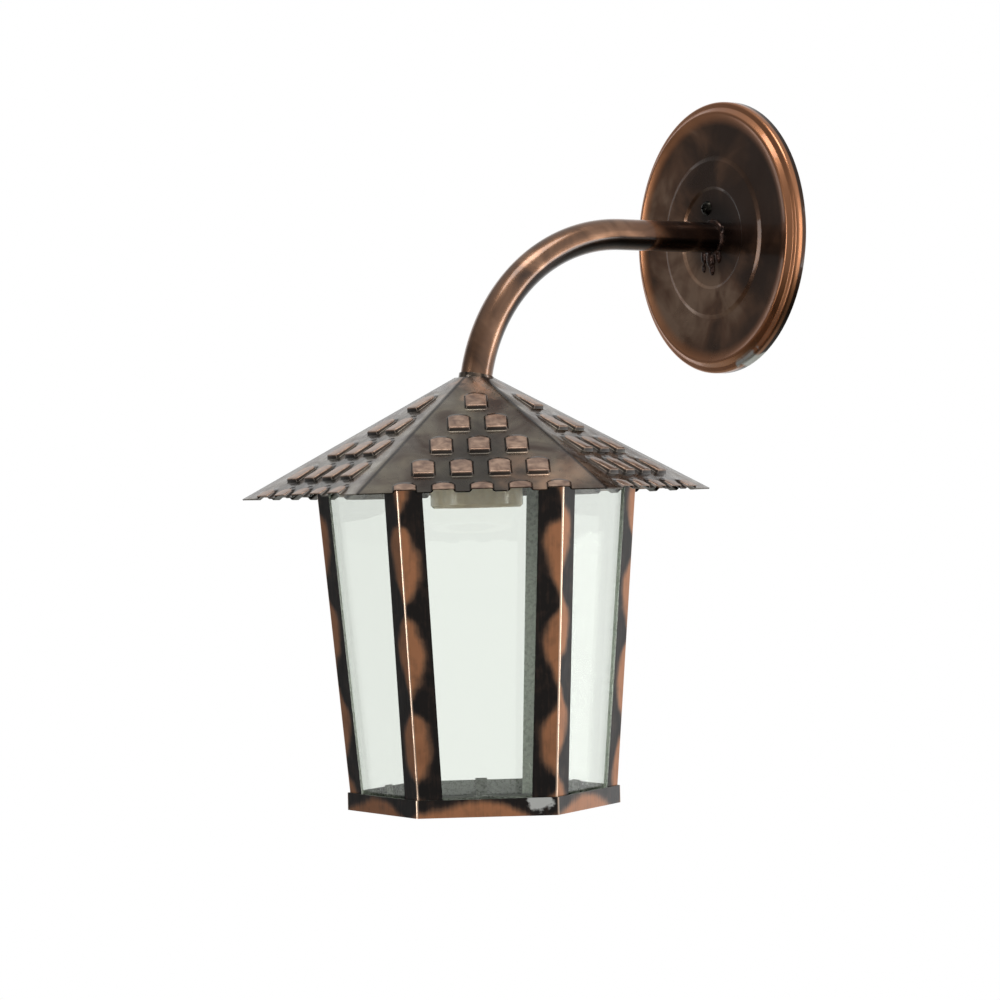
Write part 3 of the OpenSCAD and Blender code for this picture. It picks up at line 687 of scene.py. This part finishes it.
def press_panel(roof):
    """One panel: a sheet with its rows of tiles, trimmed at the eave, the top and both folds."""
    slope = math.hypot(roof.height, (EAVE_RADIUS - roof.neck) * math.cos(math.pi / SIDES))
    plain = sheet_cell(roof)
    pressed = pressed_cell(roof, plain)
    cells = []
    for row in range(roof.rows + 1):
        foot = roof.first_row + (row - 1) * roof.row_pitch
        spare = math.ceil((EAVE_RADIUS / roof.pitch - row) / 2) + 1
        for n in range(-spare, row + spare):
            across = (n - (row - 1) / 2) * roof.pitch
            kind = pressed if 0 <= n < row else plain
            cells.append(copied(kind, "cell_copy", Matrix.Translation((across, -foot, 0))))
    for pattern in (plain, pressed):
        bpy.data.objects.remove(pattern)
    panel = joined(cells)
    edit(panel)
    bpy.ops.mesh.remove_doubles(threshold=SAME_EDGE)
    bpy.ops.mesh.bisect(plane_co=(0, -slope, 0), plane_no=(0, -1, 0), clear_outer=True)
    bpy.ops.mesh.select_all(action="SELECT")
    bpy.ops.mesh.bisect(plane_co=(0, 0, 0), plane_no=(0, 1, 0), clear_outer=True)
    deselect()
    panel.data.transform(panel_place(roof, 1))
    edit(panel)
    for away in (math.radians(-60 + 90), math.radians(-120 - 90)):
        bpy.ops.mesh.select_all(action="SELECT")
        bpy.ops.mesh.bisect(
            plane_co=AXIS, plane_no=(math.cos(away), math.sin(away), 0), clear_outer=True)
    deselect()
    return panel


def press_roof(roof):
    """The whole roof: six panels, one sheet thick, with a small collar round the arm."""
    panel = press_panel(roof)
    about_axis = Matrix.Translation(AXIS)
    panels = [panel]
    for side in range(1, SIDES):
        turn = about_axis @ Matrix.Rotation(math.tau * side / SIDES, 4, "Z") @ about_axis.inverted()
        panels.append(copied(panel, "panel_copy", turn))
    sheet = joined(panels)
    sheet.name = "pressed_roof"
    edit(sheet)
    bpy.ops.mesh.remove_doubles(threshold=SAME_EDGE)
    bpy.ops.mesh.normals_make_consistent(inside=False)
    highest = roof.top - MM
    pick(sheet, "EDGE", lambda e: len(e.link_faces) == 1 and min(v.co.z for v in e.verts) > highest)
    bpy.ops.mesh.extrude_edges_move(TRANSFORM_OT_translate={"value": (0, 0, 0)})
    bpy.ops.transform.resize(value=(0.92, 0.92, 1), center_override=(AXIS.x, AXIS.y, roof.top))
    deselect()
    thicken(sheet, roof.sheet, even=True)
    smooth(sheet, 32)
    return sheet


def roll_collar(roof):
    """The short upstand of the roof round the arm, leaning with the tube's bend."""
    drop = -roof.top - 0.3 * MM
    step_back = ARM_BEND - math.sqrt(ARM_BEND ** 2 - (ARM_BEND - drop) ** 2)
    lean = math.asin((ARM_BEND - drop) / ARM_BEND)
    deselect()
    bpy.ops.mesh.primitive_cylinder_add(
        vertices=48, radius=ARM_RADIUS + 0.85 * MM, depth=2.6 * MM, end_fill_type="NOTHING",
        location=(AXIS.x, AXIS.y + step_back, roof.top - 0.2 * MM), rotation=(-lean, 0, 0))
    collar = place_in_mesh(named("roof_collar"))
    thicken(collar, roof.sheet)
    edges = collar.modifiers.new("rolled edge", "BEVEL")
    edges.width = 0.2 * MM
    edges.segments = 2
    apply_all(collar)
    smooth(collar, 40)
    return collar


class LANTERN_OT_press_roof(bpy.types.Operator):
    """Presses the six roof panels with their tiles and folds them into a pyramid"""
    bl_idname = "lantern.press_roof"
    bl_label = "Press the roof"

    def execute(self, context):
        roof = context.scene.lantern_roof
        copper = roof_copper(context.scene.lantern_finish)
        sheet = press_roof(roof)
        fit(sheet, ["roof"], copper)
        fit(roll_collar(roof), [], copper)
        return {"FINISHED"}


# The folded posts and the tray

def corner_angle(post):
    """Direction of a post's fold from the axis, in radians."""
    return math.radians(60 * post - 120)


def on_fold(vertex, angle, inset):
    """Is a vertex on the outer fold line of the corner at this angle?"""
    flat = Vector((vertex.co.x - AXIS.x, vertex.co.y - AXIS.y))
    ahead = Vector((math.cos(angle), math.sin(angle)))
    return abs(flat.x * ahead.y - flat.y * ahead.x) < 0.05 * MM and flat.dot(ahead) > inset


def outwards(face):
    """The level way from the axis to a face's middle."""
    return Vector((face.center.x - AXIS.x, face.center.y - AXIS.y, 0))


def looks_inwards(face):
    """Does a face look at the axis?"""
    way = outwards(face)
    return way.length > 0 and face.normal.dot(way.normalized()) < -0.3


def split_faces(piece, outer, inner, is_inner):
    """Gives the faces that pass the test the inner finish and the others the outer one."""
    piece.data.materials.append(outer)
    piece.data.materials.append(inner)
    for face in piece.data.polygons:
        face.material_index = int(is_inner(face))


# Heights in millimetres of one patch's centre on the left and the right flange of each post
POST_PATCHES = {
    1: (-253, -209), 2: (-206, -196), 3: (-228, -236),
    4: (-210, -226), 5: (-232, -214), 6: (-221, -243),
}


def fold_post(number, folds, finish, zinc):
    """One post with its rounded fold, flamed outside and zinc grey inside."""
    angle = corner_angle(number)
    post = merged_copy(f"post_{number}", f"folded_post_{number}")
    edit(post)
    low = TRAY_RADIUS - 4 * MM
    long = 50 * MM
    pick(post, "EDGE", lambda e: e.calc_length() > long and all(on_fold(v, angle, low) for v in e.verts))
    bpy.ops.mesh.bevel(offset=folds.post_fold, segments=5)
    deselect()
    smooth(post, 40)
    flatten(post)
    left, right = POST_PATCHES[number]
    marks = post_marks(folds.flame_step, left * MM, right * MM)
    flamed = flamed_copper(f"flamed_copper_post_{number}", finish, AXIS, angle, marks)
    split_faces(post, flamed, zinc, looks_inwards)
    fit(post, [f"post_{number}"])


class LANTERN_OT_fold_posts(bpy.types.Operator):
    """Rounds the fold of the six corner posts and flames them"""
    bl_idname = "lantern.fold_posts"
    bl_label = "Fold the posts"

    def execute(self, context):
        zinc = zinc_coat("speckled_zinc_posts", "#B9BEB3", context.scene.lantern_finish.zinc)
        for number in POST_PATCHES:
            fold_post(number, context.scene.lantern_fold, context.scene.lantern_finish, zinc)
        return {"FINISHED"}


class LANTERN_OT_fold_tray(bpy.types.Operator):
    """Rounds the folds of the tray, flames its band and leaves its floor zinc"""
    bl_idname = "lantern.fold_tray"
    bl_label = "Fold the tray"

    def execute(self, context):
        finish = context.scene.lantern_finish
        tray = merged_copy("bottom_tray", "folded_tray")
        edit(tray)
        reach = TRAY_RADIUS - 0.1 * MM
        corners = [corner_angle(n) for n in range(1, SIDES + 1)]
        pick(tray, "EDGE", lambda e: any(all(on_fold(v, a, reach) for v in e.verts) for a in corners))
        bpy.ops.mesh.bevel(offset=context.scene.lantern_fold.tray_fold, segments=3)
        deselect()
        smooth(tray, 12)
        centre = (AXIS.x, AXIS.y, TRAY_LOW.z)
        flamed = flamed_copper("flamed_copper_tray", finish, centre, 0, band_marks(TRAY_RADIUS))
        zinc = zinc_coat("speckled_zinc_tray", "#54574F", "#9DA198", 1.4)
        floor_edge = TRAY_RADIUS * 0.84
        split_faces(tray, flamed, zinc, lambda f: (
            looks_inwards(f) or f.normal.z >= 0.5 or outwards(f).length <= floor_edge))
        fit(tray, ["bottom_tray"])
        return {"FINISHED"}


# The spun wall plate

def spun(name, profile, segments):
    """A sheet spun to a profile of (radius, distance from the wall), from the rim inwards."""
    deselect()
    first = profile[0]
    bpy.ops.mesh.primitive_circle_add(
        vertices=segments, radius=first[0], location=(0, -first[1], 0), rotation=(math.pi / 2, 0, 0))
    piece = place_in_mesh(named(name))
    edit(piece)
    for (radius, out), (next_radius, next_out) in zip(profile, profile[1:]):
        bpy.ops.mesh.extrude_edges_move(TRANSFORM_OT_translate={"value": (0, out - next_out, 0)})
        k = next_radius / radius
        bpy.ops.transform.resize(value=(k, 1, k), center_override=(0, -next_out, 0))
    bpy.ops.mesh.select_all(action="SELECT")
    bpy.ops.mesh.normals_make_consistent(inside=False)
    deselect()
    return piece


def bow(centre, radius, start, end, steps=8):
    """Points of an arc of the profile, from one angle to another in degrees."""
    angles = [math.radians(start + (end - start) * i / steps) for i in range(steps + 1)]
    return [(centre[0] + radius * math.cos(a), centre[1] + radius * math.sin(a)) for a in angles]


class LANTERN_OT_spin_plate(bpy.types.Operator):
    """Spins the wall plate with its rolled rim, its bead and its two soft rings"""
    bl_idname = "lantern.spin_plate"
    bl_label = "Spin the wall plate"

    def execute(self, context):
        folds = context.scene.lantern_fold
        depth = -PLATE_LOW.y - 0.02 * MM
        seat = depth - 1.6 * MM
        ring = folds.ring_radius
        flat = folds.seat_radius
        profile = [(PLATE_RADIUS, 0.05 * MM)]
        profile += bow((PLATE_RADIUS - 1.6 * MM, 4.2 * MM), 1.6 * MM, 0, 75)
        profile += bow((folds.bead_radius + 3.4 * MM, 6.9 * MM), 0.9 * MM, 260, 215, 4)
        profile += bow((folds.bead_radius, depth - 1.5 * MM), 1.5 * MM, 35, 120)
        profile += [(folds.bead_radius - 2.6 * MM, seat + 0.35 * MM)]
        profile += [(folds.bead_radius - 6 * MM, seat + 0.1 * MM)]
        profile += bow((ring + 2.4 * MM, seat + 1.1 * MM), 1.0 * MM, 275, 235, 4)
        profile += bow((ring - 0.4 * MM, seat + 0.1 * MM), 0.9 * MM, 50, 90, 5)
        profile += bow((flat + 1.2 * MM, seat + 0.1 * MM), 0.9 * MM, 90, 130, 5)
        profile += bow((flat - 1.0 * MM, seat + 0.9 * MM), 0.9 * MM, 310, 270, 4)
        profile += [(8 * MM, seat)]
        plate = spun("spun_wall_plate", profile, 192)
        thicken(plate, folds.plate_sheet)
        smooth(plate, 50)
        fit(plate, ["wall_plate"], plate_copper(context.scene.lantern_finish))
        return {"FINISHED"}


# The arm's braze

# Its runs: direction in degrees, distance from the arm's axis and size in mm
BRAZE_RUNS = (
    (-100, 11, 4.2), (-131, 12, 3.1), (-66, 11, 3.0),
    (-94, 16.5, 2.6), (-119, 17.5, 1.9), (18, 9.4, 2.2),
)


def braze(seat):
    """The bead that holds the arm in the plate, with the runs that cooled below it."""
    deselect()
    bpy.ops.mesh.primitive_torus_add(
        major_radius=ARM_RADIUS + 0.5 * MM, minor_radius=1.5 * MM, major_segments=48, minor_segments=12,
        location=(0, -seat, 0), rotation=(math.pi / 2, 0, 0))
    parts = [place_in_mesh(named("arm_braze"))]
    for degrees, away, size in BRAZE_RUNS:
        angle = math.radians(degrees)
        deselect()
        bpy.ops.mesh.primitive_ico_sphere_add(
            subdivisions=3, radius=size * MM, scale=(0.8, 0.5, 1.3),
            location=(away * MM * math.cos(angle), -seat, away * MM * math.sin(angle)))
        parts.append(place_in_mesh(named("run")))
    bead = joined(parts)
    fused = bead.modifiers.new("fused", "REMESH")
    fused.mode = "VOXEL"
    fused.voxel_size = 0.3 * MM
    melted = bead.modifiers.new("melted", "SMOOTH")
    melted.factor = 0.7
    melted.iterations = 5
    apply_all(bead)
    smooth(bead, 80)
    return bead


class LANTERN_OT_finish_arm(bpy.types.Operator):
    """Browns and lacquers the arm and adds the lacquered braze at the wall plate"""
    bl_idname = "lantern.finish_arm"
    bl_label = "Finish the arm"

    def execute(self, context):
        coat(["arm_tube"], arm_copper(context.scene.lantern_finish))
        lacquer = plain_finish("lacquered_braze", "#1E1512", "#4C342A", 3, 0.6, 0.14, 0.05)
        fit(braze(-PLATE_LOW.y - 1.6 * MM), [], lacquer)
        return {"FINISHED"}


class LANTERN_OT_glaze(bpy.types.Operator):
    """Sets the six clear panes"""
    bl_idname = "lantern.glaze"
    bl_label = "Glaze the sides"

    def execute(self, context):
        panes = [f"glass_{side}" for side in range(1, SIDES + 1)]
        coat(panes, float_glass(context.scene.lantern_finish))
        return {"FINISHED"}


# Small fittings: their nodes, their finish's name, its two tones, grain in mm, metallic and roughness
FITTINGS = (
    ("plate_screw", "black_oxide_screw", "#0B0B0A", "#2A2822", 1.2, 0.9, 0.22),
    ("earth_screw earth_lug lamp_washer earth_tag lead_ferrules bridge_rivets holder_screws",
     "bright_zinc_hardware", "#9A9C98", "#C4C6C0", 0.8, 1.0, 0.35),
    ("arm_plug lamp_nipple lamp_nut holder_shell holder_contact holder_terminals terminal_screws",
     "turned_brass", "#A98445", "#D6B36C", 0.9, 1.0, 0.3),
    ("wire_live", "brown_pvc_wire", "#4A2A18", "#5E3822", 1.5, 0.0, 0.45),
    ("wire_neutral", "blue_pvc_wire", "#1E4C9A", "#2C62B8", 1.5, 0.0, 0.45),
    ("wire_earth", "green_pvc_wire", "#2E7A33", "#4C9A3E", 1.5, 0.0, 0.45),
)


class LANTERN_OT_finish_fittings(bpy.types.Operator):
    """Gives the lampholder, the hidden brackets, screws and wires their finishes"""
    bl_idname = "lantern.finish_fittings"
    bl_label = "Finish the fittings"

    def execute(self, context):
        strip = zinc_coat("zinc_plated_strip", "#8B8F86", context.scene.lantern_finish.zinc, 3)
        coat(["wall_bracket", "top_ring", "frame_bridge", "holder_bracket"], strip)
        coat(["holder_body"], porcelain())
        for nodes, *look in FITTINGS:
            coat(nodes.split(), plain_finish(*look))
        return {"FINISHED"}


# The stage

# The point that the camera's angles are measured about, in millimetres
CAMERA_AIM = (0, -88.889, -53.333)
# Each soft box: steps to the right, ahead and up from the lantern and its size, in metres, and watts
SOFT_BOXES = (
    ("left_soft_box", (-1.3, -0.8, 0), (0.4, 0.88), 5.4),
    ("right_soft_box", (1.4, -0.3, 0.1), (0.35, 1.0), 6),
    ("top_soft_box", (0, -0.5, 1.5), (1.0, 0.6), 9),
)
WHITE = (1, 1, 1, 1)
STUDIO_GREY = (0.55, 0.55, 0.55, 1)
FLOOR_RADIUS = 1.2


def camera_axes(stage):
    """The camera's forward, right and up directions and its place."""
    az, el, roll = (math.radians(v) for v in (stage.azimuth, stage.elevation, stage.roll))
    forward = Vector((-math.sin(az) * math.cos(el), math.cos(az) * math.cos(el), -math.sin(el)))
    level = Vector((math.cos(az), math.sin(az), 0))
    upright = level.cross(forward)
    right = level * math.cos(roll) + upright * math.sin(roll)
    up = upright * math.cos(roll) - level * math.sin(roll)
    place = Vector(CAMERA_AIM) * MM - forward * stage.distance + level * stage.pan + upright * stage.rise
    return forward, right, up, place


def set_camera(scene, stage):
    """The camera at the photograph's view: 1000 pixels across a 36 mm sensor."""
    forward, right, up, place = camera_axes(stage)
    data = bpy.data.cameras.new("photo_view")
    data.sensor_width = 36
    data.lens = stage.focal_pixels * data.sensor_width / 1000
    data.clip_start = 0.05
    data.clip_end = 20
    camera = bpy.data.objects.new("photo_view", data)
    scene.collection.objects.link(camera)
    camera.matrix_world = Matrix.Translation(place) @ Matrix((right, up, -forward)).transposed().to_4x4()
    scene.camera = camera


def set_lamp(scene, name, place, target, size, power):
    """An oblong soft box that looks at a point."""
    data = bpy.data.lights.new(name, "AREA")
    data.shape = "RECTANGLE"
    data.size, data.size_y = size
    data.energy = power
    lamp = bpy.data.objects.new(name, data)
    scene.collection.objects.link(lamp)
    lamp.location = place
    lamp.rotation_euler = (target - place).to_track_quat("-Z", "Y").to_euler()


def set_world(scene, forward, right):
    """A white backdrop, and for gloss a studio: white behind and to the right, dark on the left."""
    world = bpy.data.worlds.new("soft_studio")
    tree = fresh_tree(world)
    ray = add(tree, "LightPath").node.outputs
    heading = add(tree, "TexCoord", out="Generated")
    ahead, beside = (
        add(tree, "VectorMath", {0: heading, 1: (way.x, way.y, 0)}, out="Value", operation="DOT_PRODUCT")
        for way in (forward, right))
    height = add(tree, "SeparateXYZ", {"Vector": heading}, out="Z")
    backdrop, wall, above = (
        add(tree, "MapRange", dict(zip(("Value", "From Min", "From Max", "To Min", "To Max"), span)), **SOFT)
        for span in ((ahead, 0.55, 0.85, 0.0, 0.9), (beside, -0.9, 0.8, 0.2, 0.75), (height, 0.5, 0.9)))
    around = add(tree, "Math", {0: backdrop, 1: wall}, operation="MAXIMUM")
    studio = add(tree, "MixRGB", {"Fac": above, "Color1": around, "Color2": STUDIO_GREY})
    seen = {0: ray["Is Camera Ray"], 1: ray["Is Transmission Ray"]}
    seen = add(tree, "Math", seen, operation="MAXIMUM")
    glossy = add(tree, "MixRGB", {"Fac": ray["Is Glossy Ray"], "Color1": STUDIO_GREY, "Color2": studio})
    colour = add(tree, "MixRGB", {"Fac": seen, "Color1": glossy, "Color2": WHITE})
    background = add(tree, "Background", {"Color": colour, "Strength": 1.0})
    add(tree, "OutputWorld", {"Surface": background})
    scene.world = world


def floor_finish(forward):
    """Matt pale paper: keeps the shadow, fades into the backdrop, and is dark to gloss on its near side."""
    material = bpy.data.materials.new("matt_white_paper")
    tree = fresh_tree(material)
    ray = add(tree, "LightPath").node.outputs
    place = object_place(tree, AXIS)
    flat = add(tree, "VectorMath", {0: place, 1: (1, 1, 0)}, operation="MULTIPLY")
    radius = add(tree, "VectorMath", {0: flat}, out="Value", operation="LENGTH")
    rim = add(tree, "MapRange", {"Value": radius, "From Min": 0.35, "From Max": 1.05}, **SOFT)
    seen = add(tree, "Math", {0: rim, 1: ray["Is Camera Ray"]}, operation="MULTIPLY")
    # Painted shade for gloss: in reflections the floor's near side, under the lantern, is painted dark
    heading = {0: place, 1: (forward.x, forward.y, 0)}
    ahead = add(tree, "VectorMath", heading, out="Value", operation="DOT_PRODUCT")
    far = add(tree, "MapRange", {"Value": ahead, "From Min": 0.0, "From Max": 0.5}, **SOFT)
    mirrored = add(tree, "MixRGB", {"Fac": far, "Color1": "#3A3B38", "Color2": "#C4C6C1"})
    tone = add(tree, "MixRGB", {"Fac": ray["Is Glossy Ray"], "Color1": "#F0F0EE", "Color2": mirrored})
    paper = add(tree, "BsdfDiffuse", {"Color": tone})
    white = add(tree, "Emission", {"Color": WHITE, "Strength": 1.0})
    add(tree, "OutputMaterial", {"Surface": add(tree, "MixShader", {0: seen, 1: paper, 2: white})})
    return material


class LANTERN_OT_set_stage(bpy.types.Operator):
    """Sets the camera, the soft boxes, the white backdrop and the pale floor"""
    bl_idname = "lantern.set_stage"
    bl_label = "Set the stage"

    def execute(self, context):
        scene = context.scene
        stage = scene.lantern_stage
        forward, right, up, _ = camera_axes(stage)
        set_camera(scene, stage)
        set_world(scene, forward, right)
        aim = Vector((AXIS.x, AXIS.y / 2, -150 * MM))
        for name, (aside, ahead, above), size, power in SOFT_BOXES:
            set_lamp(scene, name, aim + right * aside + forward * ahead + up * above, aim, size, power)
        deselect()
        bpy.ops.mesh.primitive_circle_add(
            vertices=96, radius=FLOOR_RADIUS, fill_type="NGON", location=(AXIS.x, AXIS.y, -stage.floor_drop))
        floor = place_in_mesh(named("pale_floor"))
        floor.data.materials.append(floor_finish(forward))
        scene.view_settings.view_transform = "Standard"
        return {"FINISHED"}


class LANTERN_PT_shop(bpy.types.Panel):
    """Lists the steps that make the lantern"""
    bl_idname = "LANTERN_PT_shop"
    bl_label = "Wall Lantern"
    bl_space_type = "VIEW_3D"
    bl_region_type = "UI"
    bl_category = "Lantern"

    def draw(self, context):
        column = self.layout.column(align=True)
        for step in STEPS:
            column.operator(step.bl_idname)
        for group in SETTINGS:
            settings = getattr(context.scene, group)
            for name in settings.__annotations__:
                column.prop(settings, name)


STEPS = (
    LANTERN_OT_press_roof,
    LANTERN_OT_fold_posts,
    LANTERN_OT_fold_tray,
    LANTERN_OT_spin_plate,
    LANTERN_OT_finish_arm,
    LANTERN_OT_glaze,
    LANTERN_OT_finish_fittings,
    LANTERN_OT_set_stage,
)
SETTINGS = {
    "lantern_roof": RoofSettings,
    "lantern_fold": FoldSettings,
    "lantern_finish": FinishSettings,
    "lantern_stage": StageSettings,
}


def register():
    for kind in (*SETTINGS.values(), *STEPS, LANTERN_PT_shop):
        bpy.utils.register_class(kind)
    for name, kind in SETTINGS.items():
        setattr(bpy.types.Scene, name, PointerProperty(type=kind))


def unregister():
    for name in SETTINGS:
        delattr(bpy.types.Scene, name)
    for kind in reversed((*SETTINGS.values(), *STEPS, LANTERN_PT_shop)):
        bpy.utils.unregister_class(kind)


def main():
    register()
    for step in STEPS:
        family, name = step.bl_idname.split(".")
        getattr(getattr(bpy.ops, family), name)()


if __name__ == "__main__":
    main()
